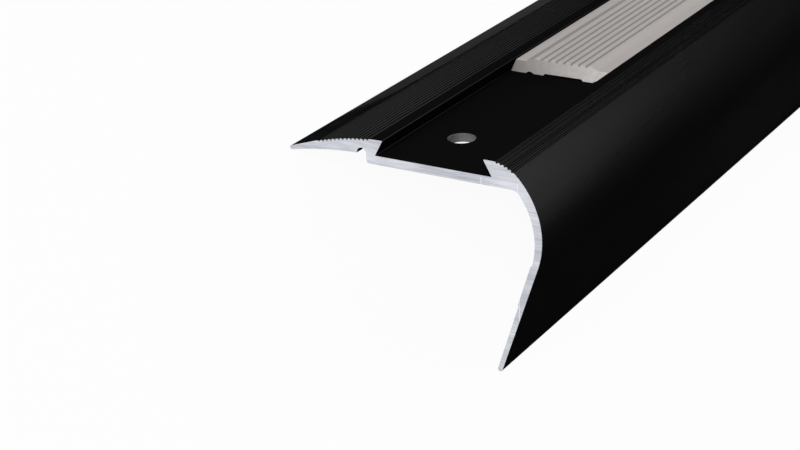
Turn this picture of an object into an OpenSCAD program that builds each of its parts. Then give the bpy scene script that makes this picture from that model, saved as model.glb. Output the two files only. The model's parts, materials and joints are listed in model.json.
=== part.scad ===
// Stair nosing: an extruded aluminium profile that caps the front edge of a stair tread.
// A dovetail channel in its tread plate holds a ribbed plastic insert over the screws.
// The section is drawn as it sits on a stair: x runs towards the front, y runs up from the
// channel floor, and the zero point is the channel floor's back corner.
// The finished piece is then laid down on its two edges, wing tip and lip, hollow side down.

/* [Length] */
// Length of the profile
length = 1000; // [250:10:3000]
// Length of channel that the insert leaves open at the near end
insert_setback = 66; // [0:1:120]

/* [Channel] */
// Width of the channel floor between its two lower corners
channel_w = 30.6; // [26:0.1:40]
// Height of the channel's back side, where the wing begins
channel_d = 3.95; // [3.8:0.05:5]
// Height of the channel's front side
front_h = 3.9; // [3.7:0.05:4.5]
// Angle between the channel's undercut sides and its floor
dovetail_angle = 61; // [50:1:80]
// Thickness of the channel floor
floor_t = 2.2; // [1.6:0.1:3]
// Thickness of the wall behind the channel, at the floor
back_wall_t = 2.35; // [1.8:0.05:4]
// Radius of the channel's lower back corner
back_corner_r = 0.6; // [0.2:0.1:1]

/* [Wing] */
// Reach of the wing behind the channel's upper edge
wing_w = 25.8; // [22:0.1:34]
// Radius of the wing's ribbed upper side
wing_top_r = 60.5; // [50:0.5:70]
// Slope of the plain strip behind the ribs
wing_slope = 18.3; // [14:0.1:19]
// Radius of the wing's tip
wing_tip_r = 0.5; // [0.3:0.05:0.7]
// Height of the space for the tread's covering below the wing
cover_gap = 2.2; // [1.5:0.1:3]
// Width of the relief groove between wing and back wall
relief_w = 2.5; // [1.5:0.1:3]
// Depth of the relief groove
relief_d = 1.4; // [1.3:0.1:1.6]

/* [Wing ribs] */
// Number of grooves between the wing's ribs
rib_count = 13; // [2:1:13]
// Spacing of the ribs and of their grooves
rib_pitch = 1.14; // [0.8:0.01:1.2]
// Depth of the grooves below the ribs
rib_depth = 0.55; // [0.2:0.05:0.7]
// Height of the ribs above the plain strips on both sides of them
rib_rise = 0.15; // [0:0.05:0.15]
// Flat on top of each rib
rib_land = 0.1; // [0.05:0.01:0.4]
// Distance from the channel's upper edge to the first groove
rib_inset = 4.05; // [2:0.05:5]

/* [Nose] */
// Reach of the nose in front of the channel floor
nose_reach = 12.4; // [11:0.1:16]
// Height from the nose's foremost line up to the channel's front edge
nose_drop = 17.5; // [16:0.1:18.5]
// Radius of the nose outside
nose_r = 21; // [20:0.1:24]
// Radius of the nose inside
nose_inner_r = 18.9; // [17:0.1:19.5]
// Wall thickness at the foremost line
nose_t = 1.85; // [1.5:0.05:2.5]
// Drop of the inner curve's centre, which thickens the wall towards the tread
nose_inner_drop = 0.85; // [0:0.05:1.2]
// Radius of the brow, which turns the upper side into the nose
brow_r = 9; // [6:0.5:12]
// Radius inside, between the channel floor and the nose
root_r = 2.5; // [1:0.1:5]

/* [Brow grooves] */
// Number of grooves along the brow
brow_count = 5; // [1:1:6]
// Spacing of the brow's grooves
brow_pitch = 1.05; // [0.8:0.05:1.1]
// Depth of the brow's grooves
brow_depth = 0.35; // [0.1:0.05:0.5]
// Width of the brow's grooves at their mouth
brow_mouth_w = 0.65; // [0.4:0.05:0.75]
// Width of the brow's grooves at their bottom
brow_bottom_w = 0.3; // [0.1:0.05:0.4]
// Distance along the brow from its start to the first groove
brow_inset = 1.45; // [1:0.05:2]

/* [Leg] */
// Height of the section, from the channel's front edge down to the lip
section_h = 52.35; // [45:0.1:65]
// Slope of the leg's outer face from the vertical
leg_angle = 19; // [16:0.5:22]
// Thickness of the leg at its rounded lip
lip_t = 1.2; // [1:0.05:1.6]
// Length of the raised strip inside the leg
pad_w = 10.7; // [5:0.1:14]
// Height of the raised strip
pad_t = 0.25; // [0.1:0.05:0.5]

/* [Screw holes] */
// Number of screw holes
hole_count = 5; // [2:1:12]
// Diameter of the screw holes
hole_d = 6.6; // [4:0.1:8]
// Distance from each end of the profile to its first hole
hole_edge = 18.4; // [10:0.1:40]
// Distance from the channel floor's back corner to the holes
hole_x = 12.7; // [8:0.1:20]

/* [Insert] */
// Gap between the insert's feet and the channel's lower corners
foot_gap = 0.45; // [0.2:0.05:0.8]
// Gap between the insert's rims and the channel's undercut sides
rim_gap = 0.2; // [0.1:0.05:0.5]
// Height of the insert's thin rims
rim_h = 3.45; // [2.8:0.05:3.6]
// Width of each rim's flat
rim_w = 2.5; // [1:0.1:3]
// Width of the hollow slope between rim and ribbed field
shoulder_w = 2.8; // [2:0.1:3.5]
// Height of the insert's ribbed field
insert_h = 4.3; // [4:0.05:4.8]
// Number of notches in the ribbed field
notch_count = 7; // [1:1:7]
// Spacing of the notches
notch_pitch = 2.09; // [1:0.01:2.2]
// Offset of the notches from the insert's middle towards the front
notch_shift = 0.4; // [0:0.05:0.4]
// Depth of the notches
notch_depth = 0.45; // [0.2:0.05:1]
// Width of the notches at their mouth
notch_w = 0.9; // [0.4:0.05:1]
// Depth of the hollows between the insert's feet
hollow_d = 0.5; // [0.2:0.05:0.9]
// Width of the flat hollow below the ribbed field
mid_hollow_w = 11.2; // [6:0.1:12]
// Width of the round hollow below each shoulder
side_hollow_w = 2.1; // [1:0.1:2.5]
// Distance from the insert's middle to each side hollow
side_hollow_x = 9.4; // [9:0.1:10]

/* [Hidden] */

// Largest turn between two points of an arc
arc_step = 3;
// Largest turn between two points of a wide arc that is seen from near by
wide_step = 1.5;
// Largest turn between two points of a small corner, a tip or a hollow
corner_step = 15;
// Largest turn between two points of the insert's shoulders and of the round root
hollow_step = 7.5;
// Number of sides of a round hole or hollow
round_sides = 48;
// Length by which a cutter stands clear of what it cuts
clear = 1;
// Colours of the black coat and of the light grey plastic
coat_colour = [0.07, 0.07, 0.075];
insert_colour = [0.73, 0.71, 0.69];

// Channel
flank_run = channel_d / tan(dovetail_angle);
back_edge = [flank_run, channel_d];
front_edge = [channel_w - front_h / tan(dovetail_angle), front_h];

// Wing: its upper side is an arc that levels out at the channel, then a straight strip
wing_top_c = back_edge - [0, wing_top_r];
wing_arc_end = wing_top_c + wing_top_r * [-sin(wing_slope), cos(wing_slope)];
wing_arc_len = wing_top_r * wing_slope * PI / 180;
wing_tip_x = flank_run - wing_w + wing_tip_r;
wing_tip_y = wing_arc_end.y - (wing_arc_end.x - wing_tip_x) * tan(wing_slope)
    - wing_tip_r / cos(wing_slope);
wing_tip_c = [wing_tip_x, wing_tip_y];
// Distances from the channel's edge at which the outermost grooves cut the plain strips
rib_reach = (rib_pitch - rib_land) / 2 * (1 - rib_rise / rib_depth);
ribs_start = rib_inset - rib_reach;
ribs_end = rib_inset + (rib_count - 1) * rib_pitch + rib_reach;
// The underside is level at the back wall and runs into the tip's circle
under_y = cover_gap - floor_t;
tip_run = wing_tip_x + back_wall_t;
tip_rise = wing_tip_y - under_y;
wing_under_r = (tip_run ^ 2 + tip_rise ^ 2 - wing_tip_r ^ 2) / (2 * (wing_tip_r - tip_rise));
wing_under_c = [-back_wall_t, under_y - wing_under_r];
under_end_angle = atan2(wing_tip_y - wing_under_c.y, wing_tip_x - wing_under_c.x);
under_start_angle = 90 + asin(relief_w / wing_under_r);
relief_c = [-back_wall_t - relief_w / 2, under_y + relief_d - relief_w / 2];

// Nose: the brow's arc leaves the level upper side and runs into the nose's arc
nose_front_x = channel_w + nose_reach;
nose_c = [nose_front_x - nose_r, front_h - nose_drop];
brow_rise = nose_drop - brow_r;
brow_c = nose_c + [sqrt((nose_r - brow_r) ^ 2 - brow_rise ^ 2), brow_rise];
brow_end_angle = atan2(brow_c.y - nose_c.y, brow_c.x - nose_c.x);
nose_inner_c = [nose_front_x - nose_t - nose_inner_r, nose_c.y - nose_inner_drop];
root_rise = -floor_t - root_r - nose_inner_c.y;
root_c = nose_inner_c + [sqrt((nose_inner_r - root_r) ^ 2 - root_rise ^ 2), root_rise];
root_angle = atan2(root_c.y - nose_inner_c.y, root_c.x - nose_inner_c.x);

// Leg: its outer face touches the nose's arc, its inner face the inner arc and the lip
lip_r = lip_t / 2;
lip_y = front_h - section_h + lip_r;
leg_out = [cos(leg_angle), -sin(leg_angle)];
lip_x = (leg_out * nose_c + nose_r - lip_r - leg_out.y * lip_y) / leg_out.x;
lip_c = [lip_x, lip_y];
inner_run = lip_c - nose_inner_c;
inner_angle = -atan2(inner_run.y, inner_run.x) - acos((nose_inner_r + lip_r) / norm(inner_run));
leg_in = [cos(inner_angle), -sin(inner_angle)];
leg_down = [-sin(inner_angle), -cos(inner_angle)];
pad_start = nose_inner_c + nose_inner_r * leg_in;
pad_end = pad_start + pad_w * leg_down;

// Laid pose: the wing tip and the lip both touch the ground
tip_to_lip = lip_c - wing_tip_c;
lay_angle = asin((lip_r - wing_tip_r) / norm(tip_to_lip)) - atan2(tip_to_lip.y, tip_to_lip.x);
laid_tip = turned(wing_tip_c, lay_angle);
laid_lip = turned(lip_c, lay_angle);
laid_mid_x = (laid_tip.x - wing_tip_r + laid_lip.x + lip_r) / 2;
laid_lift = wing_tip_r - laid_tip.y;

// Insert
insert_mid_x = channel_w / 2;
insert_foot_x = channel_w / 2 - foot_gap;
insert_edge_x = channel_w / 2 - rim_h / tan(dovetail_angle) - rim_gap;
shoulder_x = insert_edge_x - rim_w;
shoulder_h = insert_h - rim_h;
shoulder_r = (shoulder_w ^ 2 + shoulder_h ^ 2) / (2 * shoulder_h);
shoulder_angle = asin(shoulder_w / shoulder_r);
side_hollow_r = (side_hollow_w ^ 2 / 4 + hollow_d ^ 2) / (2 * hollow_d);
insert_len = length - insert_setback;

hole_pitch = (length - 2 * hole_edge) / (hole_count - 1);

// Points of an arc about centre c, from angle a to angle b
function arc(c, r, a, b, step = arc_step) =
    let (n = max(1, ceil(abs(b - a) / step)))
    [for (i = [0:n]) c + r * [cos(a + (b - a) * i / n), sin(a + (b - a) * i / n)]];

// Point p turned about the zero point
function turned(p, angle) =
    [p.x * cos(angle) - p.y * sin(angle), p.x * sin(angle) + p.y * cos(angle)];

// Turn of the wing's upper side at distance s from the channel's edge
function wing_turn(s) = min(s / wing_arc_len, 1) * wing_slope;

// Point at distance s from the channel's edge and at a height above the wing's upper side
function wing_point(s, height) =
    wing_top_c + (wing_top_r + height) * [-sin(wing_turn(s)), cos(wing_turn(s))]
    - max(s - wing_arc_len, 0) * [cos(wing_slope), sin(wing_slope)];

// Distance from the channel's edge to the bottom of a groove between the ribs
function rib_groove_at(i) = rib_inset + i * rib_pitch;

// Points of the plain strip behind the ribs, from the wing's tip to the ribs
function outer_strip() =
    ribs_end < wing_arc_len
        ? arc(wing_top_c, wing_top_r, 90 + wing_slope, 90 + wing_turn(ribs_end), wide_step)
        : [wing_point(ribs_end, 0)];

// Points of the ribs: the bottom of each groove and the flat on top of the rib before it
function rib_teeth() =
    let (top = rib_pitch / 2)
    [for (i = [rib_count - 1:-1:0], p = [
        if (i < rib_count - 1) wing_point(rib_groove_at(i) + top + rib_land / 2, rib_rise),
        if (i < rib_count - 1) wing_point(rib_groove_at(i) + top - rib_land / 2, rib_rise),
        wing_point(rib_groove_at(i), rib_rise - rib_depth)
    ]) p];

// Outline of the extrusion, without the grooves of its brow
module profile_outline() {
    channel = [back_edge, [0, 0], [channel_w, 0], front_edge];
    brow = arc(brow_c, brow_r, 90, brow_end_angle);
    nose = arc(nose_c, nose_r, brow_end_angle, -leg_angle);
    lip = arc(lip_c, lip_r, -leg_angle, -inner_angle - 180, corner_step);
    pad = [pad_end, pad_end - pad_t * leg_in, pad_start - pad_t * leg_in];
    nose_inner = arc(nose_inner_c, nose_inner_r, -inner_angle, root_angle);
    root = arc(root_c, root_r, root_angle, 90, hollow_step);
    corner_c = [back_corner_r - back_wall_t, back_corner_r - floor_t];
    back_corner = arc(corner_c, back_corner_r, 270, 180, corner_step);
    relief = arc(relief_c, relief_w / 2, 0, 180, corner_step);
    wing_under = arc(wing_under_c, wing_under_r, under_start_angle, under_end_angle, wide_step);
    wing_tip = arc(wing_tip_c, wing_tip_r, under_end_angle + 180, 90 + wing_slope, corner_step);
    inner_strip = arc(wing_top_c, wing_top_r, 90 + wing_turn(ribs_start), 90, wide_step);
    polygon(concat(channel, brow, nose, lip, pad, nose_inner, root, back_corner, relief,
        wing_under, wing_tip, outer_strip(), rib_teeth(), inner_strip));
}

// Groove with sloping sides, its mouth on the x axis and open upwards
module groove(mouth_w, bottom_w, depth) {
    flare = (mouth_w - bottom_w) / 2 / depth * clear;
    polygon([
        [-mouth_w / 2 - flare, clear],
        [-bottom_w / 2, -depth],
        [bottom_w / 2, -depth],
        [mouth_w / 2 + flare, clear]
    ]);
}

// Pointed notch, its mouth on the x axis and open upwards
module notch(mouth_w, depth) {
    flare = mouth_w / 2 / depth * clear;
    polygon([[-mouth_w / 2 - flare, clear], [0, -depth], [mouth_w / 2 + flare, clear]]);
}

// Section of the extrusion with its anti-slip ribs and grooves
module profile_section() {
    difference() {
        profile_outline();
        for (i = [0:brow_count - 1]) {
            turn = (brow_inset + i * brow_pitch) / brow_r * 180 / PI;
            translate(brow_c) rotate(-turn) translate([0, brow_r])
                groove(brow_mouth_w, brow_bottom_w, brow_depth);
        }
    }
}

// Section of the plastic insert: feet on the channel floor, rims, shoulders, ribbed field
module insert_section() {
    right_shoulder = arc([shoulder_x, rim_h + shoulder_r], shoulder_r, 270,
        270 - shoulder_angle, hollow_step);
    right_half = concat([[insert_foot_x, 0], [insert_edge_x, rim_h]], right_shoulder);
    left_half = [for (i = [len(right_half) - 1:-1:0]) [-right_half[i].x, right_half[i].y]];
    translate([insert_mid_x, 0]) difference() {
        polygon(concat(right_half, left_half));
        for (i = [0:notch_count - 1])
            translate([notch_shift + (i - (notch_count - 1) / 2) * notch_pitch, insert_h])
                notch(notch_w, notch_depth);
        mirror([0, 1]) groove(mid_hollow_w, mid_hollow_w - 2 * hollow_d, hollow_d);
        for (side = [-1, 1])
            translate([side * side_hollow_x, hollow_d - side_hollow_r])
                circle(r = side_hollow_r, $fn = round_sides);
    }
}

// Straight screw hole, drilled down through the channel floor
module screw_hole() {
    translate([0, 0, -floor_t - clear])
        cylinder(h = floor_t + 2 * clear, d = hole_d, $fn = round_sides);
}

// Runs a section along the profile, from distance start to distance start + run
module run_along(start, run) {
    translate([0, start + run, 0]) rotate([90, 0, 0]) linear_extrude(height = run) children();
}

// Turns the piece from its place on the stair to its laid pose
module laid_down() {
    translate([-laid_mid_x, -length / 2, laid_lift]) rotate([0, -lay_angle, 0]) children();
}

// Black-coated aluminium extrusion with its screw holes
module nosing_profile() {
    color(coat_colour) laid_down() difference() {
        run_along(0, length) profile_section();
        for (i = [0:hole_count - 1])
            translate([hole_x, hole_edge + i * hole_pitch, 0]) screw_hole();
    }
}

// Ribbed plastic strip pressed into the channel
module tread_insert() {
    color(insert_colour) laid_down() run_along(insert_setback, insert_len) insert_section();
}

nosing_profile();
tread_insert();
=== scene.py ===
import json
import math

import bmesh
import bpy
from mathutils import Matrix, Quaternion, Vector
from mathutils.geometry import tessellate_polygon


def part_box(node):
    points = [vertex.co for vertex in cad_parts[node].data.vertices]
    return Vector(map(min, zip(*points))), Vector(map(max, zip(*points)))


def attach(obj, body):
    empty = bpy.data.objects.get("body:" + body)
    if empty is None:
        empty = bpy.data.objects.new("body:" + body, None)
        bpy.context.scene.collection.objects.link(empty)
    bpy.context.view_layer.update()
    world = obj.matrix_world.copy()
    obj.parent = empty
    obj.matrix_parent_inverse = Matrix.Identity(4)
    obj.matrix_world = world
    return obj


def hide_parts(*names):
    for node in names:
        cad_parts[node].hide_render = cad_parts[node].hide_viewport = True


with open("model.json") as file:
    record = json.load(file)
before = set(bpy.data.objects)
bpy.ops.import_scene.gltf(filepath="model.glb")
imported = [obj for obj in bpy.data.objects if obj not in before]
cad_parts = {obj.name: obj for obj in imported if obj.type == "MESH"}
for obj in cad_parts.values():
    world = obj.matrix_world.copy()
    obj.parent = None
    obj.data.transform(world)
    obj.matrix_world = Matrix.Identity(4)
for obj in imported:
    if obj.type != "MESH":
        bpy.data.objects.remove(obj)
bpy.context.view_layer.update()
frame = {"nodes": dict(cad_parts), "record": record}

MM = 0.001
# Distance below which two mesh points are one
WELD = 1e-7

# The section's own directions, read from the screw hole's axis: up from the channel floor, and
# forward to the nose. The middle of the hole lies this far along each.
hole_mount = next(m for m in frame["record"]["mounts"] if m["name"] == "screw_hole")
hole_at = Vector(hole_mount["pos_m"])
hole_axis = Vector(hole_mount["axis"]).normalized()
UP = Vector((hole_axis.x, hole_axis.z))
FORWARD = Vector((hole_axis.z, -hole_axis.x))
HOLE_UP = Vector((hole_at.x, hole_at.z)).dot(UP)
HOLE_FORWARD = Vector((hole_at.x, hole_at.z)).dot(FORWARD)

# Screw holes: their number, their radius, the break of their edges and the steps round each
HOLE_COUNT = 5
HOLE_R = hole_mount["dims"]["r_mm"] * MM
HOLE_EDGE = 0.08 * MM
HOLE_STEPS = 96
# Side of the flat square that each hole's faces are fitted into
PATCH = 9 * MM
# The two faces of the channel floor are the section's only edges that are longer than this and
# run along FORWARD, to within this cosine
LONG_EDGE = 20 * MM
ALIGNED = 0.9999

# A turn below this is none: the point lies on a straight line
STRAIGHT_TURN = math.radians(0.05)
# Corner rounding: smallest turn that counts as a corner, turn between two points of a rounding,
# and the largest share of an edge that one rounding takes
CORNER_TURN = math.radians(22)
ROUND_TURN = math.radians(12)
CUT_SHARE = 0.48
# Longest stretch that a rounding takes from each side of a corner: the metal's outer corners,
# the ribs' crests, the channel's overhanging edges and the feet below them, the other inner
# corners, and the plastic's corners
METAL_CUT = 0.22 * MM
CREST_CUT = 0.12 * MM
LIP_CUT = 0.32 * MM
FOOT_CUT = 0.2 * MM
VALLEY_CUT = 0.12 * MM
INSERT_CUT = 0.16 * MM
# A turn above this is one of the channel's overhanging edges or the foot below it
LIP_TURN = math.radians(100)
# A flat between two outward corners that is shorter than this is the crest of a rib
CREST_FLAT = 0.15 * MM
# Width that a rib's crest is worn to, and how much deeper the valleys go to keep the ribs' height
CREST_WIDTH = 0.58 * MM
RIB_EXTRA = 0.26 * MM

# Curves get points until the turn between two of them is this small, but not on an edge that is
# shorter than this one, or longer than its neighbour by this ratio and so a straight one
CURVE_TURN = math.radians(1.2)
FINE_EDGE = 0.15 * MM
STRAIGHT_RATIO = 2.5
# Spacing of the rings along the profile
RING_GAP = 25 * MM
# An edge between two faces stays sharp above this turn, and large faces outweigh small ones in
# the smooth shading
SHARP_TURN = math.radians(34)
FACE_WEIGHT = 100

# An inward turn above this is the bottom of one of the insert's grooves. Each side of a groove
# moves in by this share of its width, and its bottom goes this much deeper.
GROOVE_TURN = math.radians(80)
GROOVE_SQUEEZE = 0.08
GROOVE_EXTRA = 0.12 * MM
# A groove's side, darkened with painted shade: its least rise for its length, and the depths
# below the insert's top that it lies between
GROOVE_RISE = 0.6
GROOVE_TOP = 0.03 * MM
GROOVE_REACH = 0.62 * MM
# The insert's slope that faces back, darkened with painted shade: its least and greatest fall for
# its length, where it starts from the back edge, and its depth
SLOPE_LEAST = 0.1
SLOPE_MOST = 0.8
SLOPE_START = 1.2 * MM
SLOPE_REACH = 0.9 * MM
# Chamfer at the insert's cut ends, and the least cosine that its corners are moved in by
INSERT_CHAMFER = 0.12 * MM
MITRE_LEAST = 0.5

# Material slots: the profile's coat and the insert's plain plastic, then each one's others
MAIN_SLOT = 0
SAWN_SLOT = 1
DRILLED_SLOT = 2
# The insert's groove sides, in plastic darkened as painted shade
GROOVE_SHADE_SLOT = 1
# The insert's slope that faces back, in plastic darkened as painted shade
SLOPE_SHADE_SLOT = 2
CUT_SLOT = 3


def near_outline(node):
    """Corners (x, z) of a node's near end, counter-clockwise, without those on a straight line."""
    bm = bmesh.new()
    bm.from_mesh(frame["nodes"][node].data)
    bmesh.ops.remove_doubles(bm, verts=bm.verts, dist=WELD)
    near = min(v.co.y for v in bm.verts)
    end = {f for f in bm.faces if all(abs(v.co.y - near) < WELD for v in f.verts)}
    rim = [e for e in bm.edges if len(end.intersection(e.link_faces)) == 1]
    at_vert = {}
    for e in rim:
        for v in e.verts:
            at_vert.setdefault(v, []).append(e)
    first = rim[0].verts[0]
    ordered = [first]
    edge = at_vert[first][0]
    vert = edge.other_vert(first)
    while vert is not first:
        ordered.append(vert)
        edge = next(e for e in at_vert[vert] if e is not edge)
        vert = edge.other_vert(vert)
    points = [Vector((v.co.x, v.co.z)) for v in ordered]
    bm.free()
    if signed_area(points) < 0:
        points.reverse()
    return [p for p, turn in zip(points, turns(points)) if abs(turn) > STRAIGHT_TURN]


def signed_area(points):
    """Area of a closed outline, positive when it runs counter-clockwise."""
    return sum(a.x * b.y - a.y * b.x for a, b in zip(points, points[1:] + points[:1])) / 2


def turns(points):
    """Turn at each point of a closed outline, positive to the left."""
    result = []
    for i, p in enumerate(points):
        before = p - points[i - 1]
        after = points[(i + 1) % len(points)] - p
        result.append(math.atan2(before.x * after.y - before.y * after.x, before.dot(after)))
    return result


def worn_ribs(points):
    """The outline with its ribs' crests worn wide and valleys deeper, and the crests' corners."""
    angle = turns(points)
    count = len(points)
    result = list(points)
    crests = set()
    for i, p in enumerate(points):
        j = (i + 1) % count
        after = points[j]
        wide = (after - p).length
        if wide > CREST_FLAT or min(angle[i], angle[j]) < CORNER_TURN:
            continue
        # This far down its two flanks, a rib is as wide as its crest wears to
        down = (CREST_WIDTH - wide) / (math.cos(angle[i]) + math.cos(angle[j]))
        result[i] = p + (points[i - 1] - p).normalized() * down
        result[j] = after + (points[(j + 1) % count] - after).normalized() * down
        crests.update((i, j))
    for i, p in enumerate(points):
        j = (i + 1) % count
        if i - 1 in crests and j in crests and i not in crests:
            away = p - points[i - 1].lerp(points[j], 0.5)
            result[i] = p + away.normalized() * RIB_EXTRA
    return result, crests


def profile_cuts(points, crests):
    """The cut for each corner of the metal's outline."""
    cuts = []
    for i, turn in enumerate(turns(points)):
        if turn > LIP_TURN:
            cuts.append(LIP_CUT)
        elif turn < -LIP_TURN:
            cuts.append(FOOT_CUT)
        elif turn < 0:
            cuts.append(VALLEY_CUT)
        elif i in crests:
            cuts.append(CREST_CUT)
        else:
            cuts.append(METAL_CUT)
    return cuts


def rounded(points, cuts):
    """The outline with its sharp corners turned into arcs."""
    result = []
    for i, (p, turn) in enumerate(zip(points, turns(points))):
        if abs(turn) < CORNER_TURN:
            result.append(p)
            continue
        back = points[i - 1] - p
        ahead = points[(i + 1) % len(points)] - p
        cut = min(cuts[i], CUT_SHARE * back.length, CUT_SHARE * ahead.length)
        start = p + back.normalized() * cut
        middle = (back.normalized() + ahead.normalized()).normalized()
        centre = p + middle * cut / math.cos((math.pi - abs(turn)) / 2)
        spoke = start - centre
        steps = max(1, math.ceil(abs(turn) / ROUND_TURN))
        for k in range(steps + 1):
            part = turn * k / steps
            across = Vector((-spoke.y, spoke.x))
            result.append(centre + spoke * math.cos(part) + across * math.sin(part))
    return result


def on_curve(start, leaving, end, arriving, t):
    """Point at share t of a cubic curve between two points, from its tangents there."""
    return (
        (2 * t ** 3 - 3 * t ** 2 + 1) * start
        + (t ** 3 - 2 * t ** 2 + t) * leaving
        + (3 * t ** 2 - 2 * t ** 3) * end
        + (t ** 3 - t ** 2) * arriving
    )


def curved(points):
    """The outline with its curves resolved into finer steps."""
    count = len(points)
    angle = turns(points)
    edges = [points[(i + 1) % count] - points[i] for i in range(count)]

    def tangent(i, edge):
        """Direction of the curve at a point, as the given edge beside it meets it."""
        before = edges[i - 1]
        after = edges[i]
        if abs(angle[i]) > CORNER_TURN:
            return edge.normalized()
        if before.length > STRAIGHT_RATIO * after.length:
            return before.normalized()
        if after.length > STRAIGHT_RATIO * before.length:
            return after.normalized()
        return (before.normalized() + after.normalized()).normalized()

    result = []
    for i, p in enumerate(points):
        result.append(p)
        edge = edges[i]
        j = (i + 1) % count
        longest = max(edge.length / edges[i - 1].length, edge.length / edges[j].length)
        if longest > STRAIGHT_RATIO or edge.length < FINE_EDGE:
            continue
        leaving = tangent(i, edge) * edge.length
        arriving = tangent(j, edge) * edge.length
        steps = math.ceil(leaving.angle(arriving) / CURVE_TURN)
        for k in range(1, steps):
            result.append(on_curve(p, leaving, points[j], arriving, k / steps))
    return result


def inside_box(points, node):
    """The outline held within the node's own box."""
    low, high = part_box(node)
    return [
        Vector((min(max(p.x, low.x), high.x), min(max(p.y, low.z), high.z)))
        for p in points
    ]


def tightened(points):
    """The outline with its V grooves made narrower and deeper, as moulded grooves are."""
    result = list(points)
    for i, turn in enumerate(turns(points)):
        if turn > -GROOVE_TURN:
            continue
        j = (i + 1) % len(points)
        left = points[i - 1]
        right = points[j]
        result[i - 1] = left.lerp(right, GROOVE_SQUEEZE)
        result[j] = right.lerp(left, GROOVE_SQUEEZE)
        result[i] = points[i] + (points[i] - left.lerp(right, 0.5)).normalized() * GROOVE_EXTRA
    return result


def inset(points, distance):
    """The outline moved inwards by a small distance."""
    result = []
    for i, p in enumerate(points):
        before = (p - points[i - 1]).normalized()
        after = (points[(i + 1) % len(points)] - p).normalized()
        normal = Vector((-before.y - after.y, before.x + after.x)).normalized()
        reach = distance / max(MITRE_LEAST, normal.dot(Vector((-after.y, after.x))))
        result.append(p + normal * reach)
    return result


def split_at(points, direction, places):
    """The outline with new points at places on its long edge in a direction, and their numbers."""
    result = []
    marks = []
    for i, p in enumerate(points):
        result.append(p)
        q = points[(i + 1) % len(points)]
        edge = q - p
        if edge.length < LONG_EDGE or edge.normalized().dot(direction) < ALIGNED:
            continue
        for place in sorted(places, reverse=direction.dot(FORWARD) < 0):
            share = (place - p.dot(FORWARD)) / edge.dot(FORWARD)
            marks.append(len(result))
            result.append(p.lerp(q, share))
    return result, marks


def ring_places(start, end, fixed):
    """Places along the profile for the rings: the fixed ones and even steps between them."""
    stops = sorted([start, end] + list(fixed))
    places = [start]
    for a, b in zip(stops, stops[1:]):
        steps = max(1, round((b - a) / RING_GAP))
        places.extend(a + (b - a) * k / steps for k in range(1, steps + 1))
    return places


def mesh_ring(bm, outline, y):
    """Mesh points of the outline at one place along the profile."""
    return [bm.verts.new((p.x, y, p.y)) for p in outline]


def walls(rings):
    """The numbers of the ring and the edge of each face between two rings, and its corners."""
    for r, (ring, after) in enumerate(zip(rings, rings[1:])):
        for i in range(len(ring)):
            j = (i + 1) % len(ring)
            yield r, i, (ring[i], ring[j], after[j], after[i])


def cap(bm, ring, outline, slot, far):
    """Closes the near or the far end of a swept piece, with triangles that face outwards."""
    flat = [Vector((p.x, p.y, 0)) for p in outline]
    for a, b, c in tessellate_polygon([flat]):
        facing_near = signed_area([outline[a], outline[b], outline[c]]) > 0
        if facing_near == far:
            a, c = c, a
        face = bm.faces.new((ring[a], ring[b], ring[c]))
        face.material_index = slot


def finished(bm, name, materials):
    """Makes the object, with flat faces kept flat and curves smooth."""
    bmesh.ops.recalc_face_normals(bm, faces=bm.faces)
    for face in bm.faces:
        face.smooth = True
    mesh = bpy.data.meshes.new(name)
    bm.to_mesh(mesh)
    bm.free()
    mesh.set_sharp_from_angle(angle=SHARP_TURN)
    for material in materials:
        mesh.materials.append(material)
    piece = bpy.data.objects.new(name, mesh)
    bpy.context.scene.collection.objects.link(piece)
    weighted = piece.modifiers.new("weighted", "WEIGHTED_NORMAL")
    weighted.keep_sharp = True
    weighted.weight = FACE_WEIGHT
    bpy.context.view_layer.objects.active = piece
    bpy.ops.object.modifier_apply(modifier=weighted.name)
    return piece


def hole_places(near, far):
    """Places of the holes along the profile, the last as far from its end as the first."""
    first = hole_at.y
    pitch = (far - near - 2 * (first - near)) / (HOLE_COUNT - 1)
    return [first + k * pitch for k in range(HOLE_COUNT)]


def make_profile(coat, sawn, drilled):
    """The black extrusion: swept section, sawn ends and screw holes."""
    low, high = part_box("nosing_profile")
    holes = hole_places(low.y, high.y)
    corners, crests = worn_ribs(near_outline("nosing_profile"))
    outline = curved(rounded(corners, profile_cuts(corners, crests)))
    outline = inside_box(outline, "nosing_profile")
    patch = [HOLE_FORWARD - PATCH / 2, HOLE_FORWARD + PATCH / 2]
    outline, top = split_at(outline, -FORWARD, patch)
    outline, under = split_at(outline, FORWARD, patch)
    # The points added on the underside move the later ones of the top along
    top = [k + (len(under) if k > under[0] else 0) for k in top]
    fixed = [y + side * PATCH / 2 for y in holes for side in (-1, 1)]
    places = ring_places(low.y, high.y, fixed)
    patches = {}
    for y in holes:
        start = min(places, key=lambda place: abs(place - y + PATCH / 2))
        patches[places.index(start)] = y
    bm = bmesh.new()
    rings = [mesh_ring(bm, outline, y) for y in places]
    for r, i, wall in walls(rings):
        # The two squares of each hole stay open
        if r not in patches or i not in (top[0], under[0]):
            bm.faces.new(wall)
    for r, y in patches.items():
        drill(bm, rings[r], rings[r + 1], top, under, y)
    cap(bm, rings[0], outline, SAWN_SLOT, far=False)
    cap(bm, rings[-1], outline, SAWN_SLOT, far=True)
    return finished(bm, "profile_body", [coat, sawn, drilled])


def height_of(vert):
    """How far up a mesh point lies in the section."""
    return vert.co.x * UP.x + vert.co.z * UP.y


def hole_circle(bm, y, radius, level):
    """Mesh points round a hole at one level of the channel floor."""
    circle = []
    for k in range(HOLE_STEPS):
        turn = 2 * math.pi * (k + 0.5) / HOLE_STEPS
        section = FORWARD * (HOLE_FORWARD + radius * math.cos(turn)) + UP * level
        circle.append(bm.verts.new((section.x, y + radius * math.sin(turn), section.y)))
    return circle


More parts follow.
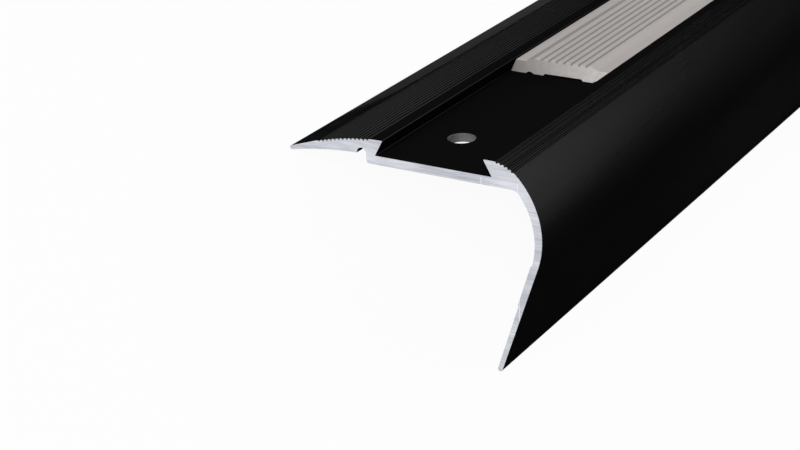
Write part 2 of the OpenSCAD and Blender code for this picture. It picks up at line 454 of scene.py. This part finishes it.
def drill(bm, ring, after, top, under, y):
    """A straight hole between the two square patches left open in the channel floor."""
    upper_face = height_of(ring[top[0]])
    lower_face = height_of(ring[under[0]])
    levels = [
        (HOLE_R + HOLE_EDGE, upper_face),
        (HOLE_R, upper_face - HOLE_EDGE),
        (HOLE_R, lower_face + HOLE_EDGE),
        (HOLE_R + HOLE_EDGE, lower_face),
    ]
    circles = [hole_circle(bm, y, radius, level) for radius, level in levels]
    for upper, lower in zip(circles, circles[1:]):
        for k in range(HOLE_STEPS):
            j = (k + 1) % HOLE_STEPS
            face = bm.faces.new((upper[k], upper[j], lower[j], lower[k]))
            face.material_index = DRILLED_SLOT
    # The faces between a hole's edge and the corners of the square around it
    for circle, marks in ((circles[0], top), (circles[-1], under)):
        corners = [ring[marks[0]], ring[marks[1]], after[marks[0]], after[marks[1]]]
        nearest = [min(corners, key=lambda c: (c.co - v.co).length) for v in circle]
        for k in range(HOLE_STEPS):
            j = (k + 1) % HOLE_STEPS
            bm.faces.new((circle[k], circle[j], nearest[k]))
            if nearest[k] is not nearest[j]:
                bm.faces.new((circle[j], nearest[j], nearest[k]))


def insert_slots(points):
    """Material slot of each edge of the insert's outline: groove side or back slope, both in
    painted shade, or neither.
    """
    crown = max(p.dot(UP) for p in points)
    back = min(p.dot(FORWARD) for p in points)
    slots = []
    for i, p in enumerate(points):
        after = points[(i + 1) % len(points)]
        edge = (after - p).normalized()
        lowest = min(p.dot(UP), after.dot(UP))
        highest = max(p.dot(UP), after.dot(UP))
        steep = abs(edge.dot(UP)) > GROOVE_RISE
        falling = SLOPE_LEAST < -edge.dot(UP) < SLOPE_MOST and edge.dot(FORWARD) < 0
        inner = min(p.dot(FORWARD), after.dot(FORWARD)) > back + SLOPE_START
        if steep and crown - GROOVE_REACH < lowest and highest < crown - GROOVE_TOP:
            slots.append(GROOVE_SHADE_SLOT)
        elif falling and inner and p.dot(UP) > crown - SLOPE_REACH:
            slots.append(SLOPE_SHADE_SLOT)
        else:
            slots.append(MAIN_SLOT)
    return slots


def make_insert(plastic, grooves, slope, cut):
    """The plastic strip, with lightly chamfered cut ends."""
    low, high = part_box("tread_insert")
    corners = tightened(near_outline("tread_insert"))
    outline = curved(rounded(corners, [INSERT_CUT] * len(corners)))
    outline = inside_box(outline, "tread_insert")
    small = inset(outline, INSERT_CHAMFER)
    bm = bmesh.new()
    places = ring_places(low.y + INSERT_CHAMFER, high.y - INSERT_CHAMFER, [])
    rings = [mesh_ring(bm, outline, y) for y in places]
    rings.insert(0, mesh_ring(bm, small, low.y))
    rings.append(mesh_ring(bm, small, high.y))
    slots = insert_slots(outline)
    for _, i, wall in walls(rings):
        face = bm.faces.new(wall)
        face.material_index = slots[i]
    cap(bm, rings[0], small, CUT_SLOT, far=False)
    cap(bm, rings[-1], small, CUT_SLOT, far=True)
    return finished(bm, "insert_body", [plastic, grooves, slope, cut])


# Sockets of the Mix node: those that take its share and its two colours, and the result
MIX_SHARE = 0
MIX_FIRST = 6
MIX_SECOND = 7
MIX_RESULT = 2


class Nodes:
    """Short calls for building one material's nodes."""

    def __init__(self, name):
        self.material = bpy.data.materials.new(name)
        self.material.use_nodes = True
        self.tree = self.material.node_tree
        self.shader = self.tree.nodes["Principled BSDF"]
        self.output = self.tree.nodes["Material Output"]
        self.coordinates = self.add("ShaderNodeTexCoord")

    def add(self, kind, **settings):
        """A new node."""
        made = self.tree.nodes.new(kind)
        for key, value in settings.items():
            setattr(made, key, value)
        return made

    def put(self, value, socket):
        """Links another node's output to a socket, or sets a plain value on it."""
        if isinstance(value, bpy.types.NodeSocket):
            self.tree.links.new(value, socket)
        else:
            socket.default_value = value

    def set(self, **values):
        """Fills the shader's own sockets, named with _ for a space."""
        for key, value in values.items():
            self.put(value, self.shader.inputs[key.replace("_", " ")])

    def stretched(self, scale, lean=0.0):
        """Object coordinates turned about the y axis by the lean, then scaled."""
        turned = self.add("ShaderNodeMapping")
        self.put(self.coordinates.outputs["Object"], turned.inputs["Vector"])
        turned.inputs["Rotation"].default_value = (0, lean, 0)
        mapping = self.add("ShaderNodeMapping")
        self.put(turned.outputs["Vector"], mapping.inputs["Vector"])
        mapping.inputs["Scale"].default_value = scale
        return mapping.outputs["Vector"]

    def along(self, direction):
        """How far a point lies along a direction of the section."""
        made = self.add("ShaderNodeVectorMath", operation="DOT_PRODUCT")
        self.put(self.coordinates.outputs["Object"], made.inputs[0])
        made.inputs[1].default_value = (direction.x, 0, direction.y)
        return made.outputs["Value"]

    def noise(self, vector, scale, detail=2.0, roughness=0.5):
        """A noise, its scale in features per metre."""
        texture = self.add("ShaderNodeTexNoise")
        self.put(vector, texture.inputs["Vector"])
        texture.inputs["Scale"].default_value = scale
        texture.inputs["Detail"].default_value = detail
        texture.inputs["Roughness"].default_value = roughness
        return texture.outputs["Fac"]

    def math(self, operation, first, second=0.0):
        """One step of arithmetic on two values."""
        made = self.add("ShaderNodeMath", operation=operation)
        self.put(first, made.inputs[0])
        self.put(second, made.inputs[1])
        return made.outputs["Value"]

    def weighed(self, *parts):
        """The sum of several values, each given with its weight."""
        total = None
        for value, weight in parts:
            part = self.math("MULTIPLY", value, weight)
            total = part if total is None else self.math("ADD", total, part)
        return total

    def spread(self, value, source, target):
        """The value moved from one range to another, and held within it."""
        made = self.add("ShaderNodeMapRange")
        self.put(value, made.inputs["Value"])
        made.inputs["From Min"].default_value = source[0]
        made.inputs["From Max"].default_value = source[1]
        made.inputs["To Min"].default_value = target[0]
        made.inputs["To Max"].default_value = target[1]
        return made.outputs["Result"]

    def blend(self, share, first, second):
        """A colour between two, the second one where the share is 1."""
        made = self.add("ShaderNodeMix", data_type="RGBA")
        self.put(share, made.inputs[MIX_SHARE])
        self.put(first, made.inputs[MIX_FIRST])
        self.put(second, made.inputs[MIX_SECOND])
        return made.outputs[MIX_RESULT]

    def bump(self, height, strength, distance, before=None):
        """Relief in the surface, on top of any relief before it."""
        made = self.add("ShaderNodeBump")
        made.inputs["Strength"].default_value = strength
        made.inputs["Distance"].default_value = distance
        self.put(height, made.inputs["Height"])
        if before is not None:
            self.put(before, made.inputs["Normal"])
        return made.outputs["Normal"]


# Range that most of a noise lies in, and the range of a share
NOISE = (0.3, 0.7)
SHARE = (0, 1)

# The coat: its two shades, the tint of its reflections seen edge-on, its roughness, the range of
# facing over which it turns edge-on, and how much rougher it gets there
COAT_DARK = (0.032, 0.032, 0.033, 1)
COAT_LIGHT = (0.036, 0.036, 0.037, 1)
COAT_EDGE_TINT = (0.089, 0.089, 0.089, 1)
COAT_ROUGHNESS = (0.27, 0.296)
COAT_EDGE_ON = (0.86, 0.95)
COAT_EDGE_ROUGHNESS = (0, 0.6)


def coat_material():
    """Deep black satin coat with the extrusion's fine lines."""
    nodes = Nodes("black_coat")
    lines = nodes.noise(nodes.stretched((1, 0.004, 1)), scale=2600, detail=3)
    grain = nodes.noise(nodes.stretched((1, 1, 1)), scale=5200)
    cloud = nodes.noise(nodes.stretched((1, 0.25, 1)), scale=60)
    colour = nodes.blend(nodes.spread(cloud, NOISE, SHARE), COAT_DARK, COAT_LIGHT)
    nodes.set(Base_Color=colour, Metallic=0.88)
    nodes.set(Specular_IOR_Level=0.0, Specular_Tint=COAT_EDGE_TINT)
    satin = nodes.spread(lines, NOISE, COAT_ROUGHNESS)
    facing = nodes.add("ShaderNodeLayerWeight").outputs["Facing"]
    edge_on = nodes.spread(facing, COAT_EDGE_ON, COAT_EDGE_ROUGHNESS)
    nodes.set(Roughness=nodes.math("ADD", satin, edge_on))
    fine = nodes.bump(lines, strength=0.05, distance=0.02 * MM)
    nodes.set(Normal=nodes.bump(grain, strength=0.05, distance=0.01 * MM, before=fine))
    return nodes.material


# The sawn ends: their two shades, the range of their mottle between the two, and their roughness
SAWN_DARK = (0.4, 0.41, 0.455, 1)
SAWN_LIGHT = (0.76, 0.77, 0.83, 1)
SAWN_MOTTLE = (0.36, 0.64)
SAWN_ROUGHNESS = (0.42, 0.6)
# Bright scratches across the sawn end: their places along the channel floor, their width, the
# height that they end at, their colour and how far it covers the metal's
SCRATCHES = [HOLE_FORWARD + 15.13 * MM, HOLE_FORWARD + 24.34 * MM]
SCRATCH_WIDTH = 0.16 * MM
SCRATCH_TOP = HOLE_UP + 0.7 * MM
SCRATCH_COLOUR = (0.85, 0.86, 0.9, 1)
SCRATCH_COVER = 0.7


def sawn_material():
    """Bare aluminium of the sawn ends: saw lines, patches and two scratches."""
    nodes = Nodes("sawn_aluminium")
    lean = math.atan2(FORWARD.y, FORWARD.x)
    lines = nodes.noise(nodes.stretched((0.05, 1, 1), lean), scale=2300, detail=3, roughness=0.6)
    patches = nodes.noise(nodes.stretched((0.3, 1, 1), lean), scale=260, detail=3)
    broad = nodes.noise(nodes.stretched((1, 1, 1)), scale=34, detail=1)
    mottle = nodes.weighed((lines, 0.45), (patches, 0.3), (broad, 0.25))
    colour = nodes.blend(nodes.spread(mottle, SAWN_MOTTLE, SHARE), SAWN_DARK, SAWN_LIGHT)
    along = nodes.along(FORWARD)
    low = nodes.math("LESS_THAN", nodes.along(UP), SCRATCH_TOP)
    for place in SCRATCHES:
        distance = nodes.math("ABSOLUTE", nodes.math("SUBTRACT", along, place))
        cover = nodes.spread(distance, (SCRATCH_WIDTH / 2, SCRATCH_WIDTH), (SCRATCH_COVER, 0))
        colour = nodes.blend(nodes.math("MULTIPLY", cover, low), colour, SCRATCH_COLOUR)
    rough = nodes.spread(lines, NOISE, SAWN_ROUGHNESS)
    nodes.set(Base_Color=colour, Metallic=0.85, Roughness=rough)
    nodes.set(Normal=nodes.bump(lines, strength=0.2, distance=0.03 * MM))
    return nodes.material


# The drilled holes: their two shades, bare metal darkened as painted shade inside the holes, and
# their roughness
DRILLED_SHADE_DARK = (0.085, 0.085, 0.087, 1)
DRILLED_SHADE_LIGHT = (0.14, 0.14, 0.143, 1)
DRILLED_ROUGHNESS = (0.4, 0.55)


def drilled_material():
    """Bare aluminium of the drilled holes, darkened as painted shade inside them, with fine marks
    left by the tool.
    """
    nodes = Nodes("drilled_aluminium")
    lines = nodes.noise(nodes.stretched((1, 0.05, 1)), scale=3000)
    colour = nodes.blend(nodes.spread(lines, NOISE, SHARE), DRILLED_SHADE_DARK, DRILLED_SHADE_LIGHT)
    rough = nodes.spread(lines, NOISE, DRILLED_ROUGHNESS)
    nodes.set(Base_Color=colour, Metallic=0.2, Roughness=rough)
    nodes.set(Normal=nodes.bump(lines, strength=0.2, distance=0.03 * MM))
    return nodes.material


# The plastic: its dark and light tone on top, then in the grooves and on the slope that faces
# back, these two darkened with painted shade, and the strength of its reflections
PLASTIC_SHADES = ((0.44, 0.411, 0.395, 1), (0.51, 0.476, 0.458, 1))
GROOVE_PAINTED_SHADES = ((0.26, 0.243, 0.234, 1), (0.32, 0.299, 0.288, 1))
SLOPE_PAINTED_SHADES = ((0.29, 0.27, 0.26, 1), (0.34, 0.317, 0.305, 1))
PLASTIC_SHINE = 0.3


def plastic_material(name, shades):
    """Matt warm light grey plastic with a fine grain."""
    nodes = Nodes(name)
    grain = nodes.noise(nodes.stretched((1, 0.7, 1)), scale=2600, detail=3, roughness=0.6)
    cloud = nodes.noise(nodes.stretched((1, 0.15, 1)), scale=90)
    share = nodes.spread(nodes.weighed((grain, 0.7), (cloud, 0.3)), NOISE, SHARE)
    colour = nodes.blend(share, shades[0], shades[1])
    nodes.set(Base_Color=colour, Roughness=0.72, Specular_IOR_Level=PLASTIC_SHINE)
    nodes.set(Normal=nodes.bump(grain, strength=0.35, distance=0.04 * MM))
    return nodes.material


# The plastic's cut ends: their two tones, painted lighter than the plastic's top as lit faces, and
# the range of their mottle between the two
CUT_LIT_DARK = (0.54, 0.513, 0.5, 1)
CUT_LIT_LIGHT = (0.64, 0.608, 0.592, 1)
CUT_MOTTLE = (0.35, 0.65)
# The painted shadow that the cut ends darken to at the back: its shade, how far it covers them
# there, and how far ahead of the holes and behind them the fade reaches
CUT_PAINTED_SHADOW = (0.2, 0.19, 0.186, 1)
CUT_SHADOW_COVER = 0.85
CUT_SHADOW_FADE = 11 * MM


def cut_plastic_material():
    """The plastic's cut ends: mottled by the saw, painted lighter as lit faces, and darkened
    towards the back by a painted shadow.
    """
    nodes = Nodes("grey_plastic_cut")
    grain = nodes.noise(nodes.stretched((1, 1, 1)), scale=1500, detail=3, roughness=0.6)
    mottle = nodes.noise(nodes.stretched((1, 1, 1)), scale=700)
    share = nodes.spread(nodes.weighed((grain, 0.4), (mottle, 0.6)), CUT_MOTTLE, SHARE)
    # Painted light: the cut ends' tones are lighter than the top's
    colour = nodes.blend(share, CUT_LIT_DARK, CUT_LIT_LIGHT)
    # Painted shadow over the cut ends towards the back
    fade = (HOLE_FORWARD - CUT_SHADOW_FADE, HOLE_FORWARD + CUT_SHADOW_FADE)
    behind = nodes.spread(nodes.along(FORWARD), fade, (CUT_SHADOW_COVER, 0))
    colour = nodes.blend(behind, colour, CUT_PAINTED_SHADOW)
    nodes.set(Base_Color=colour, Roughness=0.8, Specular_IOR_Level=PLASTIC_SHINE)
    nodes.set(Normal=nodes.bump(grain, strength=0.4, distance=0.06 * MM))
    return nodes.material


# The floor: its side, its grey, and how much of it glows as white paper in the picture
FLOOR_SIZE = 12.0
FLOOR_GREY = (0.8, 0.8, 0.8, 1)
FLOOR_GLOW = 0.95


def floor_material():
    """Pale floor that reads as white paper and keeps a soft shadow."""
    nodes = Nodes("pale_floor")
    nodes.set(Base_Color=FLOOR_GREY, Roughness=0.9)
    glow = nodes.add("ShaderNodeEmission")
    path = nodes.add("ShaderNodeLightPath")
    seen = path.outputs["Is Camera Ray"]
    for ray in ("Is Glossy Ray", "Is Transmission Ray"):
        seen = nodes.math("MAXIMUM", seen, path.outputs[ray])
    mixed = nodes.add("ShaderNodeMixShader")
    nodes.put(nodes.math("MULTIPLY", seen, FLOOR_GLOW), mixed.inputs["Fac"])
    nodes.put(nodes.shader.outputs["BSDF"], mixed.inputs[1])
    nodes.put(glow.outputs["Emission"], mixed.inputs[2])
    nodes.put(mixed.outputs["Shader"], nodes.output.inputs["Surface"])
    return nodes.material


def make_floor():
    """A large square to stand on, which isn't part of the object."""
    half = FLOOR_SIZE / 2
    mesh = bpy.data.meshes.new("floor")
    corners = [(-half, -half, 0), (half, -half, 0), (half, half, 0), (-half, half, 0)]
    mesh.from_pydata(corners, [], [(0, 1, 2, 3)])
    mesh.materials.append(floor_material())
    floor = bpy.data.objects.new("floor", mesh)
    bpy.context.scene.collection.objects.link(floor)


# Camera: where it stands, its turns about the x, y and z axes in degrees, its lens in
# millimetres, and the nearest and farthest that it sees
CAMERA_AT = (0.047469, -0.853109, 0.286618)
CAMERA_TURN = (43.7767, -31.5741, 36.9855)
CAMERA_LENS = 87.725
CAMERA_REACH = (0.01, 100)


def make_camera():
    """The camera, at the photograph's viewing angle."""
    data = bpy.data.cameras.new("camera")
    data.lens = CAMERA_LENS
    data.clip_start, data.clip_end = CAMERA_REACH
    camera = bpy.data.objects.new("camera", data)
    bpy.context.scene.collection.objects.link(camera)
    camera.location = CAMERA_AT
    camera.rotation_euler = [math.radians(turn) for turn in CAMERA_TURN]
    bpy.context.scene.camera = camera


# Points near the profile's near end that the lamps face: the front one, and the two behind
FRONT_TARGET = (0, -0.4, 0.03)
REAR_TARGET = (0.02, -0.45, 0.036)


def make_lamp(name, at, target, size, power, roll=0):
    """A soft box that faces the target, rolled about its own axis by some degrees."""
    data = bpy.data.lights.new(name, "AREA")
    data.shape = "RECTANGLE"
    data.size, data.size_y = size
    data.energy = power
    lamp = bpy.data.objects.new(name, data)
    lamp.location = at
    away = Vector(at) - Vector(target)
    turn = away.to_track_quat("Z", "Y") @ Quaternion((0, 0, 1), math.radians(roll))
    lamp.rotation_euler = turn.to_euler()
    bpy.context.scene.collection.objects.link(lamp)


def make_world(strength):
    """Even white light from all round."""
    world = bpy.data.worlds.new("studio")
    world.use_nodes = True
    background = world.node_tree.nodes["Background"]
    background.inputs["Color"].default_value = (1, 1, 1, 1)
    background.inputs["Strength"].default_value = strength
    bpy.context.scene.world = world


profile = make_profile(coat_material(), sawn_material(), drilled_material())
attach(profile, "root")
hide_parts("nosing_profile")

insert = make_insert(
    plastic_material("grey_plastic", PLASTIC_SHADES),
    # Groove sides and the back slope: the plastic darkened as painted shade
    plastic_material("grey_plastic_grooves_painted_shade", GROOVE_PAINTED_SHADES),
    plastic_material("grey_plastic_slope_painted_shade", SLOPE_PAINTED_SHADES),
    cut_plastic_material(),
)
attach(insert, "root")
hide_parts("tread_insert")

make_floor()
make_camera()
make_world(strength=0.14)
make_lamp("front", (-0.3, -2.16, 1.33), FRONT_TARGET, size=(1.2, 0.9), power=46)
make_lamp("back", (-0.06, 0.5, 0.667), REAR_TARGET, size=(1.09, 1.02), power=4.7, roll=45)
make_lamp("side", (1.167, 1.096, 0.835), REAR_TARGET, size=(0.61, 0.78), power=1.71)
bpy.context.scene.view_settings.view_transform = "Standard"
